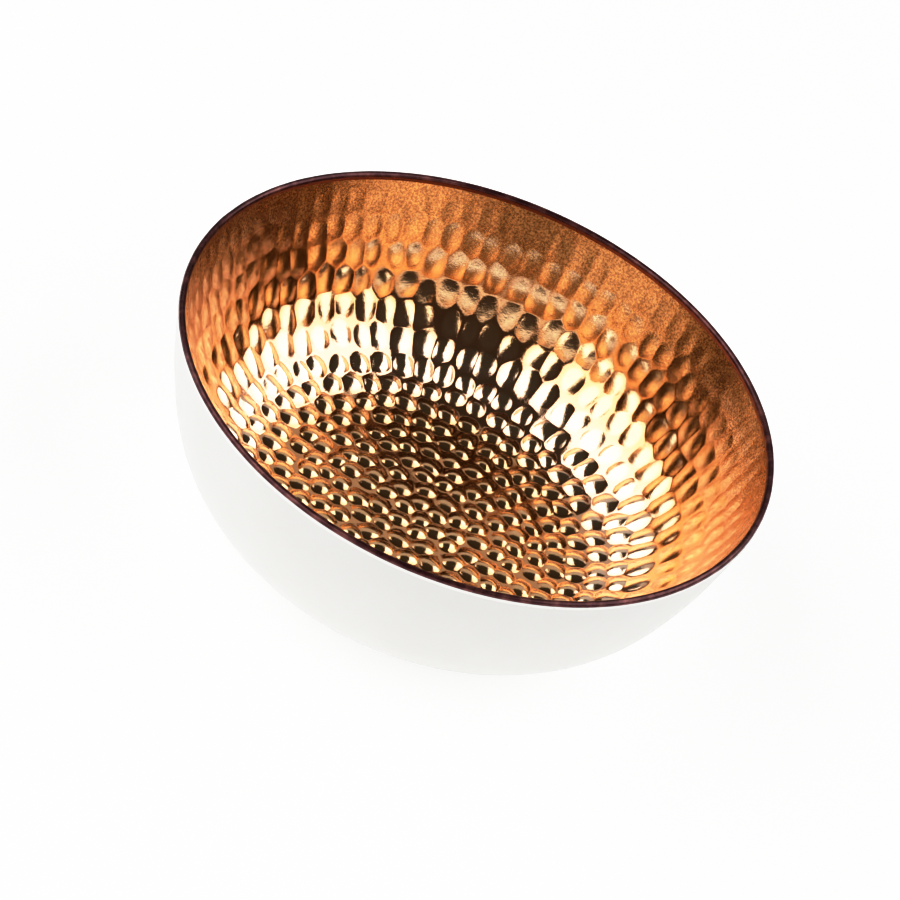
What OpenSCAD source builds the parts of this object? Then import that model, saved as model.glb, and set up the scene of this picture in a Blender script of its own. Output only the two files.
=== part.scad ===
// Double-walled serving bowl: a hammered copper inner bowl and a smooth outer
// shell, crimped together under a wired rim band. The rim is a circle about +Z
// and the flat base stands on z = 0.

/* [Bowl] */
// Diameter over the rim band
bowl_d = 250; // [200:5:300]
// Height from the base to the top of the rim band
bowl_h = 88; // [84:1:92]

/* [Outer shell] */
// Thickness of the outer skin
shell_t = 0.8; // [0.6:0.1:1.2]
// Lean of the outer wall from vertical just under the rim, in degrees
shell_lean = 8; // [7:0.5:10]
// Radius of the gently bulged outer wall
wall_r = 186; // [170:2:200]
// Radius of the round turn from the outer wall to the base
knuckle_r = 65; // [56:1:66]

/* [Inner bowl] */
// Thickness of the copper skin
liner_t = 0.9; // [0.6:0.1:1.2]
// How much more the inner wall leans than the outer one, in degrees
extra_lean = 3; // [2.5:0.5:5]
// How much tighter the inner knuckle is than the outer one
knuckle_step = 4; // [2:0.5:6]
// Air gap between the two floors
floor_gap = 5.5; // [5:0.5:9]

/* [Rim band] */
// Thickness of the band's metal
band_t = 0.6; // [0.4:0.1:0.8]
// How far the band's legs reach down below the middle of its wire
band_leg = 1.8; // [1.5:0.1:3]

/* [Vent] */
// Diameter of the vent hole in the middle of the base
vent_d = 5; // [3:0.5:6]
// Diameter of the pressed recess round the vent
recess_d = 18; // [14:1:24]
// Depth of the pressed recess
recess_depth = 1.6; // [1.4:0.1:2]

/* [Hidden] */
$fn = 96;

// Chords in each arc of a skin's outline
arc_steps = 14;
// Chords in half of the wire's section and in the band's crown round it
crown_steps = 12;
// Straight lip between the end of a skin's wall and the band's legs
lip_gap = 0.4;
// Inward run of the recess's sloping side
recess_slope = 1.5;
// Thickness of the vent plug's head and of its clinched flange
plug_head_t = 0.8;
plug_flange_t = 0.6;
// How far the plug's head and flange overlap the metal round the vent
plug_head_lap = 2.5;
plug_flange_lap = 1.2;

// A leaning skin measures less along the radius than through the metal, so its
// lip is that much thinner and the two lips lie face to face
liner_lean = shell_lean + extra_lean;
shell_lip_t = shell_t * cos(shell_lean);
liner_lip_t = liner_t * cos(liner_lean);
wire_r = (shell_lip_t + liner_lip_t) / 2;
band_r = wire_r + band_t;
wire_ring_r = bowl_d / 2 - band_r;
wire_z = bowl_h - band_r;
lip_top_z = wire_z - wire_r;
lip_z = wire_z - band_leg - lip_gap;

// A skin is [thickness, lean, knuckle radius, height of its underside, radius
// and height where its wall ends and its straight lip starts]
shell = [shell_t, shell_lean, knuckle_r, 0, [wire_ring_r + wire_r, lip_z]];
liner = [
    liner_t, liner_lean, knuckle_r - knuckle_step, shell_t + floor_gap,
    shell[4] + [-shell_lip_t, shell_t * sin(shell_lean)]
];

// Points [radius, height] on a circle, by the lean of the surface there
function arc(centre, r, from, to) = [
    for (i = [0 : arc_steps])
        let (lean = from + (to - from) * i / arc_steps)
        centre + r * [cos(lean), -sin(lean)]
];

// The wall's arc ends at the lip with the skin's lean
function wall_centre(skin) = skin[4] + wall_r * [-cos(skin[1]), sin(skin[1])];

// The knuckle's arc touches the flat floor and the wall's arc
function knuckle_centre(skin) =
    let (
        wall_c = wall_centre(skin),
        z = skin[3] + skin[2],
        reach = wall_r - skin[2],
        drop = wall_c.y - z
    )
    [wall_c.x + sqrt(reach * reach - drop * drop), z];

// Outline of a skin from its floor to its lip, moved inwards by inset
function skin_line(skin, inset) =
    let (
        wall_c = wall_centre(skin),
        knuckle_c = knuckle_centre(skin),
        join_lean = atan2(wall_c.y - knuckle_c.y, knuckle_c.x - wall_c.x),
        knuckle = arc(knuckle_c, skin[2] - inset, 90, join_lean),
        wall = arc(wall_c, wall_r - inset, join_lean, skin[1])
    )
    concat(knuckle, [for (i = [1 : arc_steps]) wall[i]]);

// Points on half a circle about [0, 0], from the angle from
function half_circle(r, from) = [
    for (i = [0 : crown_steps])
        let (angle = from + 180 * i / crown_steps)
        r * [cos(angle), sin(angle)]
];

function reversed(points) = [for (i = [len(points) - 1 : -1 : 0]) points[i]];

// A skin turned about +Z, with its straight lip on top. The two lists give its
// middle, under and over, from the axis outwards
module skin_solid(skin, middle_under, middle_over) {
    lip_r = skin[4].x;
    lip_in_r = lip_r - skin[0] * cos(skin[1]);
    rotate_extrude()
        polygon(concat(
            middle_under,
            skin_line(skin, 0),
            [[lip_r, lip_top_z], [lip_in_r, lip_top_z]],
            reversed(skin_line(skin, skin[0])),
            reversed(middle_over)
        ));
}

// Satin white skin with a flat base and a pressed recess round its vent
module outer_shell() {
    recess_r = recess_d / 2;
    color("whitesmoke")
        skin_solid(
            shell,
            [
                [vent_d / 2, recess_depth],
                [recess_r - recess_slope, recess_depth],
                [recess_r, 0]
            ],
            [
                [vent_d / 2, recess_depth + shell_t],
                [recess_r - recess_slope + shell_t / 2, recess_depth + shell_t],
                [recess_r + shell_t / 2, shell_t]
            ]
        );
}

// Copper skin that holds the food, with a closed flat floor
module inner_bowl() {
    color("#c8763c")
        skin_solid(
            liner,
            [[0, liner[3]]],
            [[0, liner[3] + liner_t]]
        );
}

// Channel bent over the wire, with a leg down each side of the two lips
module rim_band() {
    color("#4a2a26")
        rotate_extrude()
            translate([wire_ring_r, wire_z])
                polygon(concat(
                    half_circle(band_r, 0),
                    [[-band_r, -band_leg], [-wire_r, -band_leg]],
                    reversed(half_circle(wire_r, 0)),
                    [[wire_r, -band_leg], [band_r, -band_leg]]
                ));
}

// Wire that fills the crown of the band and rests on the lips
module rim_wire() {
    color("#8d6a52")
        rotate_extrude()
            translate([wire_ring_r, wire_z])
                polygon(concat(
                    half_circle(wire_r, 0),
                    [for (i = [1 : crown_steps - 1]) half_circle(wire_r, 180)[i]]
                ));
}

// Clinched plug: a head in the recess, a shank and a flange inside the wall
module vent_plug() {
    color("silver")
        union() {
            translate([0, 0, recess_depth - plug_head_t])
                cylinder(h = plug_head_t, r = vent_d / 2 + plug_head_lap);
            translate([0, 0, recess_depth])
                cylinder(h = shell_t, r = vent_d / 2);
            translate([0, 0, recess_depth + shell_t])
                cylinder(h = plug_flange_t, r = vent_d / 2 + plug_flange_lap);
        }
}

outer_shell();
inner_bowl();
rim_band();
rim_wire();
vent_plug();
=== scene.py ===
"""Looks of a double-walled hammered copper bowl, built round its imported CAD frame."""

import math
import random

import bpy
import numpy as np
from mathutils import Matrix, Vector, noise
from mathutils.geometry import delaunay_2d_cdt


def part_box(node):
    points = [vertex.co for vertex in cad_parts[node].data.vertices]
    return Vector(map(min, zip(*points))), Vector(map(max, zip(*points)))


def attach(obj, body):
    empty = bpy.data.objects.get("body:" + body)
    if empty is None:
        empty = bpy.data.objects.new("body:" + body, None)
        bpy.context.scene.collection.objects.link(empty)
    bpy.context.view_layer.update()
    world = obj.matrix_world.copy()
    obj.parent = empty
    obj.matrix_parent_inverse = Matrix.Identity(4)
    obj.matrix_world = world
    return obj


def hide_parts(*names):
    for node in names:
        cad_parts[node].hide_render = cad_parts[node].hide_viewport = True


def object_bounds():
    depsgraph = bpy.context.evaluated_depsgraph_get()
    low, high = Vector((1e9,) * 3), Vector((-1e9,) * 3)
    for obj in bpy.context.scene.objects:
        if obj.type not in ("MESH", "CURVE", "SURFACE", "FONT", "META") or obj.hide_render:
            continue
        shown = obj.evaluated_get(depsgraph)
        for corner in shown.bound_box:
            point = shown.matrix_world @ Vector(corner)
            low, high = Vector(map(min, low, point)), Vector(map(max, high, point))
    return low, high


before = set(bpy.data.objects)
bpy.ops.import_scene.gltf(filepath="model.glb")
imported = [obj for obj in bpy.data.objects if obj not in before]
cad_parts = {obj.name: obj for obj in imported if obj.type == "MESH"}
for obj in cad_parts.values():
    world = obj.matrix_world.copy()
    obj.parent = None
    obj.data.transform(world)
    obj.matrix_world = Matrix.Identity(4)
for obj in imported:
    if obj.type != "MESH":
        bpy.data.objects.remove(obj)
cad_low, cad_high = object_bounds()

MM = 0.001

# The bowl's main sizes, from the frame
RIM_R = (cad_high.x - cad_low.x) / 2
BASE_Z = cad_low.z
RIM_Z = cad_high.z

# Domes that the hammer raised inside the bowl, with narrow flat bands between them
DOME_PITCH = 9.7 * MM
DOME_R = 4.85 * MM
FLOOR_RISE = 1.6 * MM
WALL_RISE = 0.70 * MM
DOME_FILLET = 0.06 * MM
WALL_STRETCH = 0.70

# Faint marks on the outer shell
SHELL_MARK_PITCH = 15 * MM
SHELL_MARK_R = 10 * MM
SHELL_MARK_DEPTH = 0.12 * MM
SHELL_MARK_SOFTNESS = 0.012 * MM

# How finely the turned pieces are divided: points round the axis, and rings along each side
SHELL_SEGMENTS = 420
SHELL_OUTER_RINGS = 96
SHELL_INNER_RINGS = 30
LINER_BACK_RINGS = 21
RIM_SEGMENTS = 560


# ---------------------------------------------------------------- outlines from the frame

def cad_rings(node, inside, from_r=0.0):
    """Rings (radius, height) on one side of a CAD skin, from its middle to its lip."""
    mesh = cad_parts[node].data
    lip_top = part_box(node)[1].z
    rings = set()
    for face in mesh.polygons:
        slope = face.normal.z if inside else -face.normal.z
        if slope < 0.02 or face.center.z > lip_top - 0.1 * MM:
            continue
        for index in face.vertices:
            co = mesh.vertices[index].co
            rings.add((math.hypot(co.x, co.y), co.z))
    kept = []
    for ring in sorted(rings, key=lambda ring: (round(ring[1], 5), ring[0])):
        if ring[0] > from_r and (not kept or math.dist(ring, kept[-1]) > 0.3 * MM):
            kept.append(ring)
    return kept


class Curve:
    """A smooth line through rings: radius, height and slope by distance along it."""

    LONGEST_CHORD = 5 * MM
    STEPS = 3000

    def __init__(self, rings):
        points = [rings[0]]
        for ring in rings[1:]:
            start = np.array(points[-1])
            parts = math.ceil(math.dist(start, ring) / self.LONGEST_CHORD)
            points += [tuple(start + (np.array(ring) - start) * (i + 1) / parts) for i in range(parts)]
        points = np.array(points)
        chords = np.diff(points, axis=0)
        lengths = np.hypot(chords[:, 0], chords[:, 1])
        ends = np.concatenate([[0], np.cumsum(lengths)])
        middles = (ends[1:] + ends[:-1]) / 2
        self.length = ends[-1]
        self.at = np.linspace(0, self.length, self.STEPS)
        self.slope = np.interp(self.at, middles, np.arctan2(chords[:, 1], chords[:, 0]))
        between = (self.slope[1:] + self.slope[:-1]) / 2
        moves = np.stack([np.cos(between), np.sin(between)], 1) * np.diff(self.at)[:, None]
        line = points[0] + np.concatenate([[[0, 0]], np.cumsum(moves, axis=0)])
        self.line = line + np.outer(self.at / self.length, points[-1] - line[-1])

    def __call__(self, distance):
        r = np.interp(distance, self.at, self.line[:, 0])
        z = np.interp(distance, self.at, self.line[:, 1])
        return r, z, np.interp(distance, self.at, self.slope)

    def distance_at_slope(self, degrees):
        return float(np.interp(math.radians(degrees), self.slope, self.at))


# ---------------------------------------------------------------- hammer marks

def marks_in_rings(pitch, reach, seed):
    """Centres of hammer marks in rings about the middle, in the flattened skin's plane."""
    rng = random.Random(seed)
    marks = [(0.15 * pitch, -0.1 * pitch)]
    radius = pitch * 0.95
    while radius < reach - 0.3 * pitch:
        count = round(2 * math.pi * radius / pitch)
        phase = rng.uniform(0, 2 * math.pi)
        for i in range(count):
            angle = phase + 2 * math.pi * i / count + rng.gauss(0, 0.09) * pitch / radius
            r = radius + rng.gauss(0, 0.08) * pitch
            marks.append((r * math.cos(angle), r * math.sin(angle)))
        radius += pitch * 0.87
    return np.array(marks)


def marked_height(points, marks, radii, heights, fillet, ovals=0.0):
    """Height at each point of domes that run into each other and the plain surface with a fillet.

    ovals is how far the domes are drawn out in one direction, each in its own.
    """
    rng = random.Random(len(marks))
    turns = np.array([rng.uniform(0, math.pi) for _ in marks])
    raised = heights > 0.03 * heights.max()
    marks, radii, heights, turns = marks[raised], radii[raised], heights[raised], turns[raised]
    height = np.zeros(len(points))
    for start in range(0, len(points), 4000):
        part = slice(start, start + 4000)
        gap = points[part, None, :] - marks[None, :, :]
        drawn = gap[:, :, 0] * np.cos(turns) + gap[:, :, 1] * np.sin(turns)
        dome = heights * (1 - ((gap ** 2).sum(2) - ovals * drawn ** 2) / radii ** 2)
        powers = np.exp(np.maximum(dome / fillet[part, None], -40))
        height[part] = fillet[part] * np.log(1 + powers.sum(1))
    return height


def circumcentre(a, b, c):
    """Centre of the circle through three points of the plane."""
    b, c = b - a, c - a
    twice_area = 2 * (b[0] * c[1] - b[1] * c[0])
    bb, cc = b @ b, c @ c
    return a + np.array([c[1] * bb - b[1] * cc, b[0] * cc - c[0] * bb]) / twice_area


class Cells:
    """A mesh of the plane disc in which every mark is a cell with its border as a loop of edges."""

    SHORTEST_EDGE = 0.9 * MM
    EDGE_STEP = 1.6 * MM
    DOME_RINGS = (1.05, 0.94, 0.80, 0.60, 0.33)
    LOW_DOME_RINGS = (1.0, 0.72, 0.38)

    def __init__(self, marks, dome_r, low_from, reach):
        self.points = []
        self.faces = []
        far = np.hypot(marks[:, 0], marks[:, 1])
        near_edge = far > reach - 2.5 * DOME_PITCH
        mirrored = marks[near_edge] * (2 * reach / far[near_edge] - 1)[:, None]
        self.sites = np.concatenate([marks, mirrored])
        self.find_corners()
        self.borders = {}
        self.use = {}
        loops = [self.border_loop(site) for site in range(len(marks))]
        self.snap_edge(reach)
        for site, loop in enumerate(loops):
            rings = self.DOME_RINGS if far[site] < low_from else self.LOW_DOME_RINGS
            self.fill_cell(self.sites[site], loop, dome_r, rings)
        self.points = np.array(self.points)

    def add_point(self, point):
        self.points.append(np.array(point))
        return len(self.points) - 1

    def find_corners(self):
        """Corners where three cells meet, with those very close together merged into one."""
        made = delaunay_2d_cdt([Vector(site) for site in self.sites], [], [], 0, 1e-9)
        origin = [sources[0] for sources in made[3]]
        triangles = [tuple(origin[v] for v in triangle) for triangle in made[2]]
        centres = [circumcentre(*(self.sites[v] for v in triangle)) for triangle in triangles]
        leader = list(range(len(triangles)))

        def find(t):
            while leader[t] != t:
                t = leader[t]
            return t

        by_edge = {}
        for t, triangle in enumerate(triangles):
            for i in range(3):
                edge = frozenset((triangle[i], triangle[i - 1]))
                if edge in by_edge and math.dist(centres[by_edge[edge]], centres[t]) < self.SHORTEST_EDGE:
                    leader[find(t)] = find(by_edge[edge])
                by_edge[edge] = t
        groups = {}
        for t in range(len(triangles)):
            groups.setdefault(find(t), []).append(t)
        self.corner_of = {}
        self.corner_place = {}
        for head, members in groups.items():
            self.corner_place[head] = np.mean([centres[t] for t in members], axis=0)
            for t in members:
                self.corner_of[t] = head
        self.corner_point = {}
        self.around = {}
        for t, triangle in enumerate(triangles):
            for site in triangle:
                self.around.setdefault(site, []).append((t, centres[t]))

    def corner(self, head):
        if head not in self.corner_point:
            self.corner_point[head] = self.add_point(self.corner_place[head])
        return self.corner_point[head]

    def border_loop(self, site):
        """Point numbers round a cell, counter-clockwise."""
        place = self.sites[site]
        around = sorted(self.around[site], key=lambda item: math.atan2(*(item[1] - place)[::-1]))
        heads = [self.corner_of[t] for t, _ in around]
        heads = [head for i, head in enumerate(heads) if head != heads[i - 1]]
        loop = []
        for i, head in enumerate(heads):
            following = heads[(i + 1) % len(heads)]
            loop += [self.corner(head)] + self.border(head, following)
        return loop

    def border(self, start, end):
        """Point numbers between two corners."""
        key = (min(start, end), max(start, end))
        self.use[key] = self.use.get(key, 0) + 1
        if key not in self.borders:
            a, b = (self.corner_place[head] for head in key)
            parts = max(1, round(math.dist(a, b) / self.EDGE_STEP))
            self.borders[key] = [self.add_point(a + (b - a) * i / parts) for i in range(1, parts)]
        return self.borders[key] if start == key[0] else self.borders[key][::-1]

    def snap_edge(self, reach):
        """Moves the ridges that only one cell has onto the disc's edge."""
        edge = set()
        for key, count in self.use.items():
            if count == 1:
                edge |= {self.corner_point[head] for head in key} | set(self.borders[key])
        for index in edge:
            self.points[index] *= reach / math.hypot(*self.points[index])
        self.edge = sorted(edge, key=lambda index: math.atan2(self.points[index][1], self.points[index][0]))

    def fill_cell(self, site, loop, dome_r, rings):
        """Rings of quads from the cell's border to the dome's round foot and up to its top."""
        border = np.array([self.points[index] for index in loop]) - site
        length = np.hypot(border[:, 0], border[:, 1])[:, None]
        foot = border / length * np.minimum(dome_r, 0.93 * length)
        outer = loop
        for share in rings:
            inner = [self.add_point(site + share * place) for place in foot]
            for i in range(len(loop)):
                self.faces.append((outer[i - 1], outer[i], inner[i], inner[i - 1]))
            outer = inner
        centre = self.add_point(site)
        for i in range(len(outer)):
            self.faces.append((outer[i - 1], outer[i], centre))


# ---------------------------------------------------------------- meshes

def mesh_object(name, points, faces, material, attributes=None, sharp_angle=None):
    """A smooth-shaded piece with its values per point."""
    mesh = bpy.data.meshes.new(name)
    mesh.from_pydata([tuple(p) for p in points], [], faces)
    mesh.validate()
    mesh.shade_smooth()
    if sharp_angle:
        mesh.set_sharp_from_angle(angle=math.radians(sharp_angle))
    for key, values in (attributes or {}).items():
        mesh.attributes.new(key, "FLOAT", "POINT").data.foreach_set("value", np.array(values, np.float32))
    piece = bpy.data.objects.new(name, mesh)
    bpy.context.scene.collection.objects.link(piece)
    piece.data.materials.append(material)
    return piece


def ring_points(radii, heights, angles):
    """Points on rings about the axis, ring by ring."""
    radii, heights = np.asarray(radii)[:, None], np.asarray(heights)[:, None]
    x = radii * np.cos(angles)[None, :]
    y = radii * np.sin(angles)[None, :]
    return np.stack([x, y, heights + 0 * x], 2).reshape(-1, 3)


def ring_faces(rings, count, start=0, closed=False):
    """Quads between neighbouring rings of count points each."""
    faces = []
    pairs = [(i, i + 1) for i in range(rings - 1)] + ([(rings - 1, 0)] if closed else [])
    for low, high in pairs:
        for j in range(count):
            k = (j + 1) % count
            a, b = start + low * count, start + high * count
            faces.append((a + j, a + k, b + k, b + j))
    return faces


def unevenness(points, scale, amount):
    """Slow unevenness of hand work at each point."""
    return np.array([noise.noise(Vector(p) / scale) for p in points]) * amount


def liner_curve(inside):
    """The outline of one side of the inner bowl, from the axis to the lip."""
    rings = cad_rings("inner_bowl", inside)
    return Curve([(0.0, rings[0][1])] + rings)


def hammered_liner(material):
    """The copper skin: real marks inside, a plain back in the closed space, and the straight lip."""
    inner, back = liner_curve(True), liner_curve(False)
    turn = inner.distance_at_slope(30)
    reach = turn + (inner.length - turn) * WALL_STRETCH
    marks = marks_in_rings(DOME_PITCH, reach, seed=11)
    cells = Cells(marks, DOME_R, turn + 8 * MM, reach)

    def along(plane_r):
        return np.where(plane_r < turn, plane_r, turn + (plane_r - turn) / WALL_STRETCH)

    knuckle, top = inner.distance_at_slope(50), inner.length
    rises = [
        (0, FLOOR_RISE),
        (turn - 5 * MM, FLOOR_RISE),
        (knuckle, 0.58 * FLOOR_RISE),
        (knuckle + 15 * MM, WALL_RISE),
        (top - 28 * MM, 0.80 * WALL_RISE),
        (top - 12 * MM, 0.40 * WALL_RISE),
        (top - 4 * MM, 0.0),
    ]

    def rise_at(distance):
        return np.interp(distance, *zip(*rises))

    rng = random.Random(5)
    mark_far = along(np.hypot(marks[:, 0], marks[:, 1]))
    heights = rise_at(mark_far) * np.array([rng.uniform(0.8, 1.12) for _ in marks])
    radii = np.array([rng.uniform(0.86, 1.03) * DOME_R for _ in marks])
    plane = cells.points
    distance = along(np.hypot(plane[:, 0], plane[:, 1]))
    radius, height, slope = inner(distance)
    fillet = DOME_FILLET * (0.15 + 0.85 * rise_at(distance) / FLOOR_RISE)
    rise = marked_height(plane, marks, radii, heights, fillet, ovals=0.25)
    rise *= np.clip((inner.length - distance) / (6 * MM), 0, 1)
    angle = np.arctan2(plane[:, 1], plane[:, 0])
    fade = np.clip((inner.length - distance) / (20 * MM), 0, 1)
    lift = rise + unevenness(np.pad(plane, ((0, 0), (0, 1))), 45 * MM, 0.25 * MM) * fade
    radius, height = radius - lift * np.sin(slope), height + lift * np.cos(slope)
    points = [np.stack([radius * np.cos(angle), radius * np.sin(angle), height], 1)]
    faces = list(cells.faces)

    # The straight lip and the back follow the angles of the marks' outermost points
    count = len(cells.edge)
    edge_angles = angle[cells.edge]
    low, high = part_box("inner_bowl")
    lip_r = inner(inner.length)[0]
    back_steps = np.linspace(back.length, 0, LINER_BACK_RINGS + 1)[:-1]
    back_r, back_z, _ = back(back_steps)
    rings_r = [lip_r, high.x, *back_r]
    rings_z = [high.z, high.z, *back_z]
    start = len(plane)
    points.append(ring_points(rings_r, rings_z, edge_angles))
    points.append(np.array([[0, 0, low.z]]))
    for j in range(count):
        k = (j + 1) % count
        faces.append((cells.edge[j], cells.edge[k], start + k, start + j))
    faces += ring_faces(len(rings_r), count, start)
    last = start + (len(rings_r) - 1) * count
    middle = start + len(rings_r) * count
    faces += [(last + j, last + (j + 1) % count, middle) for j in range(count)]
    rest = len(rings_r) * count + 1
    points = np.concatenate(points)
    attributes = {
        "up_wall": np.concatenate([distance / inner.length, np.ones(rest)]),
        "dome": np.concatenate([rise / np.maximum(rise_at(distance), 0.1 * MM), np.zeros(rest)]),
    }
    liner = mesh_object("hammered_liner", points, faces, material, attributes)
    lip = set(cells.edge) | set(range(start, start + 3 * count))
    for edge in liner.data.edges:
        edge.use_edge_sharp = edge.vertices[0] in lip and edge.vertices[1] in lip
    return liner


def white_shell(material):
    """The outer skin, with a smooth wall that shows faint wide marks."""
    recess = 10 * MM
    outside = Curve(cad_rings("outer_shell", False, recess - 1.2 * MM))
    inside = Curve(cad_rings("outer_shell", True, recess - 0.8 * MM))
    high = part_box("outer_shell")[1]
    under, upper = middle_rings("outer_shell", recess)
    out_at = np.linspace(0, outside.length, SHELL_OUTER_RINGS)
    out_r, out_z, out_slope = outside(out_at)
    in_r, in_z, _ = inside(np.linspace(inside.length, 0, SHELL_INNER_RINGS))
    radii = np.concatenate([[r for r, _ in under], out_r, [high.x, in_r[0]], in_r, [r for r, _ in upper]])
    heights = np.concatenate([[z for _, z in under], out_z, [high.z, high.z], in_z, [z for _, z in upper]])
    angles = np.linspace(0, 2 * math.pi, SHELL_SEGMENTS, endpoint=False)
    points = ring_points(radii, heights, angles)

    # The marks sink into the wall and fade out towards the base and the lip
    reach = outside.length + recess
    marks = marks_in_rings(SHELL_MARK_PITCH, reach, seed=23)
    far = (out_at + recess)[:, None]
    plane = np.stack([far * np.cos(angles), far * np.sin(angles)], 2).reshape(-1, 2)
    mark_radii = np.full(len(marks), SHELL_MARK_R)
    depths = np.full(len(marks), SHELL_MARK_DEPTH)
    cut = marked_height(plane, marks, mark_radii, depths, np.full(len(plane), SHELL_MARK_SOFTNESS))
    fade = np.clip(np.sin(out_slope) / 0.3, 0, 1) * np.clip((reach - far[:, 0]) / (10 * MM), 0, 1)
    cut *= np.repeat(fade, SHELL_SEGMENTS)
    inwards = cut * np.repeat(np.sin(out_slope), SHELL_SEGMENTS)
    first = len(under) * SHELL_SEGMENTS
    rows = slice(first, first + SHELL_OUTER_RINGS * SHELL_SEGMENTS)
    around = np.arctan2(points[rows, 1], points[rows, 0])
    points[rows, 0] -= inwards * np.cos(around)
    points[rows, 1] -= inwards * np.sin(around)
    points[rows, 2] += cut * np.repeat(np.cos(out_slope), SHELL_SEGMENTS)
    faces = [face[::-1] for face in ring_faces(len(radii), SHELL_SEGMENTS, closed=True)]
    return mesh_object("white_shell", points, faces, material, sharp_angle=40)


def middle_rings(node, reach):
    """The under and the upper rings of a skin's middle, out to reach, each in the order of the outline."""
    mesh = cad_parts[node].data
    sides = [[], []]
    for face in mesh.polygons:
        if abs(face.normal.z) < 0.02:
            continue
        for index in face.vertices:
            co = mesh.vertices[index].co
            r = math.hypot(co.x, co.y)
            side = sides[int(face.normal.z > 0)]
            if r < reach - 0.3 * MM and all(math.dist((r, co.z), ring) > 0.2 * MM for ring in side):
                side.append((r, co.z))
    under = sorted(ring for ring in sides[0] if ring[0] < reach - 1.2 * MM)
    upper = sorted((ring for ring in sides[1] if ring[0] < reach - 0.8 * MM), reverse=True)
    return under, upper


def dark_rim(material):
    """The crimped band: a round crown over the wire and two legs, slightly uneven from the hand."""
    low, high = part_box("rim_band")
    wire_low, wire_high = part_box("rim_wire")
    wire_r = (wire_high.z - wire_low.z) / 2
    ring_r = wire_high.x - wire_r
    crown_r = high.x - ring_r
    centre_z = high.z - crown_r
    leg_r = 0.25 * MM

    def bend(r, angles):
        return [(ring_r + r * math.cos(a), centre_z + r * math.sin(a)) for a in angles]

    crown = bend(crown_r, np.linspace(0, math.pi, 19))
    bore = bend(wire_r, np.linspace(math.pi, 0, 13))
    hem = [math.radians(a) for a in (0, 30, 60, 90)]
    in_hem = [(ring_r - crown_r + leg_r * (1 - math.cos(a)), low.z + leg_r * (1 - math.sin(a))) for a in hem]
    out_hem = [(2 * ring_r - r, z) for r, z in in_hem][::-1]
    drops = [0.12 * MM, 0.32 * MM]
    in_leg = [(ring_r - crown_r, centre_z - drop) for drop in drops]
    out_leg = [(ring_r + crown_r, centre_z - drop) for drop in drops[::-1]]
    outline = crown + in_leg + in_hem + [(ring_r - wire_r, low.z)] + bore
    outline += [(ring_r + wire_r, low.z)] + out_hem + out_leg
    angles = np.linspace(0, 2 * math.pi, RIM_SEGMENTS, endpoint=False)
    radii, heights = np.array(outline).T
    points = ring_points(radii, heights, angles)
    outer = np.zeros(len(outline), bool)
    shown = len(crown) + len(in_leg) + len(hem)
    outer[:shown] = True
    outer[-len(hem) - len(out_leg):] = True
    wobble = unevenness(points, 9 * MM, 0.10 * MM) + unevenness(points, 2.5 * MM, 0.04 * MM)
    wobble = (wobble - 0.07 * MM) * np.repeat(outer, RIM_SEGMENTS)
    push_r = np.repeat(np.sign(radii - ring_r), RIM_SEGMENTS) * 0.8
    around = np.arctan2(points[:, 1], points[:, 0])
    points[:, 0] += wobble * push_r * np.cos(around)
    points[:, 1] += wobble * push_r * np.sin(around)
    faces = ring_faces(len(outline), RIM_SEGMENTS, closed=True)
    below = np.clip((centre_z - drops[0] - heights) / (drops[1] - drops[0]), 0, 1)
    attributes = {
        "painted": np.repeat(below * (radii > ring_r), RIM_SEGMENTS),
        "bare": np.repeat(below * (radii < ring_r), RIM_SEGMENTS),
    }
    return mesh_object("dark_rim", points, faces, material, attributes, sharp_angle=50)


# ---------------------------------------------------------------- materials

def new_material(name):
    """An empty node material, with its shader."""
    material = bpy.data.materials.new(name)
    material.use_nodes = True
    return material, material.node_tree.nodes["Principled BSDF"]


def node(material, kind, inputs=None, **settings):
    """Adds a shader node; inputs gives values or other nodes' outputs."""
    made = material.node_tree.nodes.new(kind)
    for key, value in settings.items():
        setattr(made, key, value)
    for key, value in (inputs or {}).items():
        if isinstance(value, bpy.types.NodeSocket):
            material.node_tree.links.new(value, made.inputs[key])
        else:
            made.inputs[key].default_value = value
    return made


def link(material, output, target):
    material.node_tree.links.new(output, target)


def ramp(material, value, stops):
    """A colour ramp over value. stops are (place, colour or grey)."""
    made = node(material, "ShaderNodeValToRGB", {"Fac": value})
    elements = made.color_ramp.elements
    while len(elements) < len(stops):
        elements.new(0.5)
    for element, (place, colour) in zip(elements, stops):
        element.position = place
        grey = isinstance(colour, (int, float))
        element.color = (colour, colour, colour, 1) if grey else (*colour, 1)
    return made.outputs["Color"]


def mix(material, share, a, b):
    """A colour between a and b."""
    return node(material, "ShaderNodeMix", {0: share, 6: a, 7: b}, data_type="RGBA").outputs[2]


def noise_value(material, scale, detail=3.0, stretch=None):
    """Fractal noise in the piece's own space; stretch scales its axes."""
    place = node(material, "ShaderNodeTexCoord").outputs["Object"]
    if stretch:
        place = node(material, "ShaderNodeMapping", {"Vector": place, "Scale": stretch}).outputs[0]
    settings = {"Vector": place, "Scale": scale, "Detail": detail, "Roughness": 0.55}
    return node(material, "ShaderNodeTexNoise", settings).outputs["Fac"]


def attribute(material, name):
    return node(material, "ShaderNodeAttribute", attribute_name=name).outputs["Fac"]


def bump(material, height, strength, distance, normal=None):
    inputs = {"Height": height, "Strength": strength, "Distance": distance}
    if normal:
        inputs["Normal"] = normal
    return node(material, "ShaderNodeBump", inputs).outputs[0]


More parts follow.
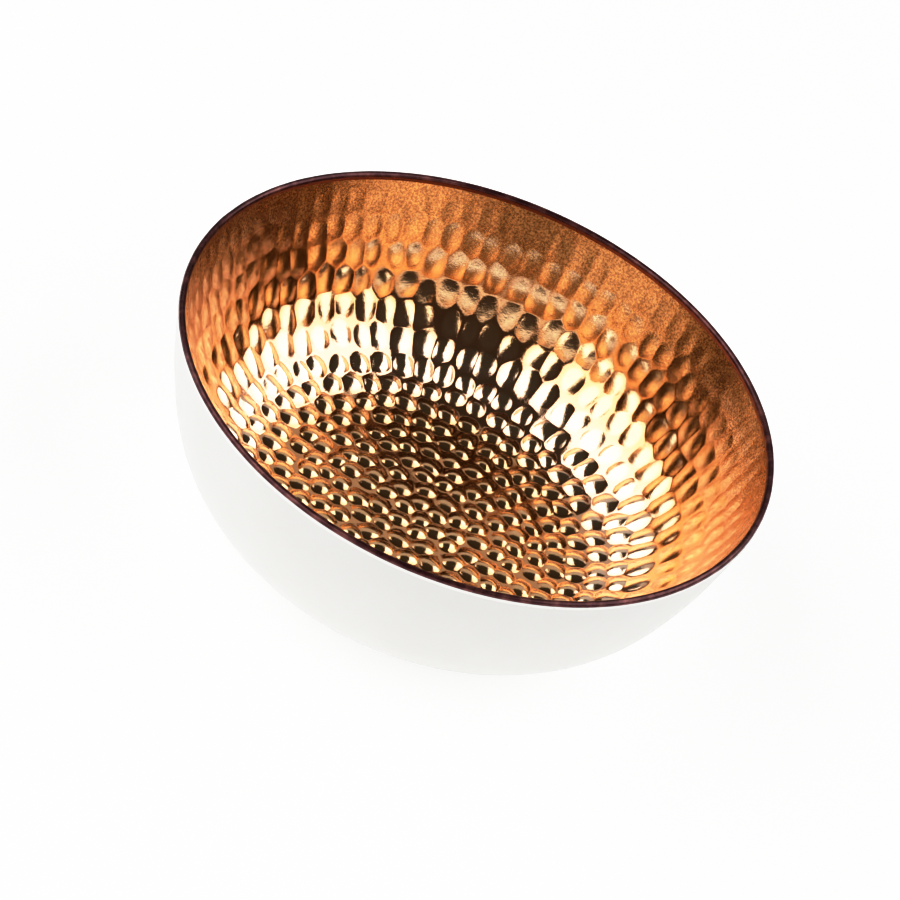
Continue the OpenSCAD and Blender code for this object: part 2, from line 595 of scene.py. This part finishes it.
def hammered_copper():
    """Lacquered copper: painted shade darkens it between the domes, a painted highlight makes it brightest
    in the turn up to the wall, brushed above.
    """
    material, shader = new_material("hammered_copper")
    up_wall = attribute(material, "up_wall")
    brushed = ramp(material, up_wall, [(0.74, 0.0), (0.93, 1.0)])
    # Painted highlight: the turn up to the wall is made paler, most in its middle
    turn = ramp(material, up_wall, [(0.38, 0.0), (0.48, 1.0), (0.56, 1.0), (0.66, 0.0)])
    polished = mix(material, noise_value(material, 35, 4), (0.92, 0.59, 0.31, 1), (0.86, 0.51, 0.24, 1))
    # Painted shade: the copper is darkened and reddened between the domes, in the creases round their feet
    groove_shade = ramp(material, attribute(material, "dome"), [(0.15, 0.85), (0.65, 0.0)])
    shaded_copper = mix(material, groove_shade, polished, (0.76, 0.36, 0.12, 1))
    # Painted highlight on the domes' tops in the turn, with painted shade in the grooves between them
    turn_highlight = mix(material, groove_shade, (0.97, 0.70, 0.50, 1), (0.86, 0.48, 0.28, 1))
    # The polished colour now holds the painted shade between the domes and the painted highlight in the turn
    polished = mix(material, turn, shaded_copper, turn_highlight)
    grain = ramp(material, noise_value(material, 1100, 4), [(0.40, 0.0), (0.60, 1.0)])
    aged = mix(material, grain, (0.36, 0.17, 0.06, 1), (0.82, 0.53, 0.26, 1))
    link(material, mix(material, brushed, polished, aged), shader.inputs["Base Color"])
    shader.inputs["Metallic"].default_value = 1.0
    polished_rough = ramp(material, noise_value(material, 60, 5), [(0.3, 0.06), (0.7, 0.14)])
    brushed_rough = ramp(material, noise_value(material, 90, 5), [(0.3, 0.22), (0.7, 0.34)])
    rough = mix(material, brushed, polished_rough, brushed_rough)
    link(material, rough, shader.inputs["Roughness"])
    peel = bump(material, noise_value(material, 330, 4), 0.22, 0.3 * MM)
    speckle = bump(material, noise_value(material, 1500, 3), 0.30, 0.1 * MM, peel)
    link(material, speckle, shader.inputs["Normal"])
    shader.inputs["Coat Weight"].default_value = 1.0
    shader.inputs["Coat IOR"].default_value = 2.1
    shader.inputs["Coat Roughness"].default_value = 0.1
    link(material, speckle, shader.inputs["Coat Normal"])
    return material


def satin_white():
    """White enamel over steel."""
    material, shader = new_material("satin_white")
    tone = mix(material, noise_value(material, 25, 4), (0.76, 0.755, 0.74, 1), (0.70, 0.695, 0.675, 1))
    link(material, tone, shader.inputs["Base Color"])
    shader.inputs["Roughness"].default_value = 0.4
    shader.inputs["Coat Weight"].default_value = 0.15
    shader.inputs["Coat Roughness"].default_value = 0.25
    link(material, bump(material, noise_value(material, 500, 3), 0.05, 0.1 * MM), shader.inputs["Normal"])
    return material


def dark_copper():
    """Copper darkened to a purple brown on the crown, painted over outside and bare inside."""
    material, shader = new_material("dark_copper")
    worn = ramp(material, noise_value(material, 160, 5), [(0.45, 0.0), (0.75, 1.0)])
    painted, bare = attribute(material, "painted"), attribute(material, "bare")
    tone = mix(material, worn, (0.10, 0.03, 0.035, 1), (0.30, 0.13, 0.12, 1))
    tone = mix(material, bare, tone, (0.34, 0.11, 0.06, 1))
    link(material, mix(material, painted, tone, (0.88, 0.87, 0.85, 1)), shader.inputs["Base Color"])
    link(material, ramp(material, painted, [(0.0, 0.7), (1.0, 0.0)]), shader.inputs["Metallic"])
    rough = ramp(material, noise_value(material, 220, 4), [(0.3, 0.25), (0.7, 0.42)])
    link(material, rough, shader.inputs["Roughness"])
    link(material, bump(material, noise_value(material, 900, 3), 0.15, 0.1 * MM), shader.inputs["Normal"])
    shader.inputs["Coat Weight"].default_value = 0.6
    shader.inputs["Coat Roughness"].default_value = 0.15
    return material


def drawn_steel(name, tone):
    """Plain wire and turned metal."""
    material, shader = new_material(name)
    streaks = noise_value(material, 300, 3, stretch=(1, 1, 8))
    darker = tuple(0.8 * part for part in tone)
    link(material, mix(material, streaks, (*tone, 1), (*darker, 1)), shader.inputs["Base Color"])
    shader.inputs["Metallic"].default_value = 1.0
    link(material, ramp(material, streaks, [(0.3, 0.3), (0.7, 0.5)]), shader.inputs["Roughness"])
    link(material, bump(material, streaks, 0.1, 0.05 * MM), shader.inputs["Normal"])
    return material


# ---------------------------------------------------------------- stage, light and camera

def photo_tone():
    """A product photograph's contrast: deeper dark tones and highlights that roll off to white."""
    view = bpy.context.scene.view_settings
    view.view_transform = "Standard"
    view.use_curve_mapping = True
    mapping = view.curve_mapping
    mapping.white_level = (2.0, 2.0, 2.0)
    curve = mapping.curves[3]
    curve.points[1].location = (1.0, 1.0)
    shadows = [(0.01, 0.005), (0.05, 0.045), (0.125, 0.17)]
    highlights = [(0.25, 0.50), (0.36, 0.82), (0.48, 0.965), (0.7, 0.995)]
    for x, y in shadows + highlights:
        curve.points.new(x, y)
    mapping.update()


def studio_world():
    """A dim room that lets the soft boxes shape the reflections, and a pale backdrop for the camera."""
    world = bpy.data.worlds.new("studio")
    bpy.context.scene.world = world
    world.use_nodes = True
    background = world.node_tree.nodes["Background"]
    direction = node(world, "ShaderNodeTexCoord").outputs["Generated"]
    height = node(world, "ShaderNodeSeparateXYZ", {0: direction}).outputs["Z"]
    walls, ceiling = (0.10, 0.09, 0.08), (0.085, 0.08, 0.065)
    room = ramp(world, height, [(0.0, walls), (0.6, walls), (0.95, ceiling)])
    seen = node(world, "ShaderNodeLightPath").outputs["Is Camera Ray"]
    link(world, mix(world, seen, room, (0.93, 0.93, 0.92, 1)), background.inputs["Color"])
    background.inputs["Strength"].default_value = 1.0


def soft_box(name, azimuth, elevation, width, height, brightness):
    """An area light that faces the bowl and fills width by height degrees of its view.

    Azimuth 0 is on the camera's side and 90 to the right.
    """
    distance = 1.8
    light = bpy.data.lights.new(name, "AREA")
    light.shape = "RECTANGLE"
    light.size = 2 * distance * math.tan(math.radians(width / 2))
    light.size_y = 2 * distance * math.tan(math.radians(height / 2))
    light.energy = brightness * math.pi * light.size * light.size_y
    light.color = (0.98, 0.99, 1.0)
    holder = bpy.data.objects.new(name, light)
    a, e = math.radians(azimuth), math.radians(elevation)
    away = Vector((math.sin(a) * math.cos(e), -math.cos(a) * math.cos(e), math.sin(e)))
    holder.location = Vector((0, 0, RIM_Z)) + away * distance
    holder.rotation_euler = away.to_track_quat("Z", "Y").to_euler()
    bpy.context.scene.collection.objects.link(holder)


def pale_floor():
    """A plain pale floor, not part of the object."""
    half = 1.3
    mesh = bpy.data.meshes.new("floor")
    corners = [(-half, -half), (half, -half), (half, half), (-half, half)]
    mesh.from_pydata([(x, y, BASE_Z) for x, y in corners], [], [(0, 1, 2, 3)])
    floor = bpy.data.objects.new("floor", mesh)
    bpy.context.scene.collection.objects.link(floor)
    material, shader = new_material("floor_paint")
    shader.inputs["Base Color"].default_value = (0.93, 0.93, 0.925, 1)
    shader.inputs["Roughness"].default_value = 0.9
    shader.inputs["Emission Color"].default_value = (1, 1, 0.99, 1)
    shader.inputs["Emission Strength"].default_value = 0.35
    mesh.materials.append(material)


def photo_camera():
    """The camera, 37.6 degrees above the rim and rolled, so that the bowl leans down to the right."""
    elevation, roll = math.radians(37.62), math.radians(24.06)
    distance = 11.94 * RIM_R
    rim = Vector((0, 0, RIM_Z))
    place = rim + distance * Vector((0, -math.cos(elevation), math.sin(elevation)))
    aside, along = 0.002 * RIM_R, -0.258 * RIM_R
    target = rim + Vector((aside, along * math.sin(elevation), along * math.cos(elevation)))
    forward = (target - place).normalized()
    right = forward.cross(Vector((0, 0, 1))).normalized()
    up = right.cross(forward)
    turned_right = math.cos(roll) * right + math.sin(roll) * up
    turned_up = -math.sin(roll) * right + math.cos(roll) * up
    data = bpy.data.cameras.new("camera")
    data.lens = 150
    data.sensor_width = 36
    camera = bpy.data.objects.new("camera", data)
    axes = Matrix((turned_right, turned_up, -forward)).transposed().to_4x4()
    camera.matrix_world = Matrix.Translation(place) @ axes
    bpy.context.scene.collection.objects.link(camera)
    bpy.context.scene.camera = camera


# ---------------------------------------------------------------- the scene

photo_tone()
photo_camera()
studio_world()
soft_box("left_box", -72, 40, 74, 52, 1.8)
soft_box("right_box", 98, 43, 70, 50, 1.65)
soft_box("front_low", 8, 9, 104, 18, 1.05)
soft_box("back_box", 180, 46, 90, 26, 0.45)
pale_floor()

liner = hammered_liner(hammered_copper())
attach(liner, "root")
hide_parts("inner_bowl")

shell = white_shell(satin_white())
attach(shell, "root")
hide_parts("outer_shell")

rim = dark_rim(dark_copper())
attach(rim, "root")
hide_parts("rim_band")

for name, tone in (("rim_wire", (0.45, 0.43, 0.41)), ("vent_plug", (0.6, 0.59, 0.57))):
    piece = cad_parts[name]
    piece.data.materials.clear()
    piece.data.materials.append(drawn_steel(name + "_metal", tone))
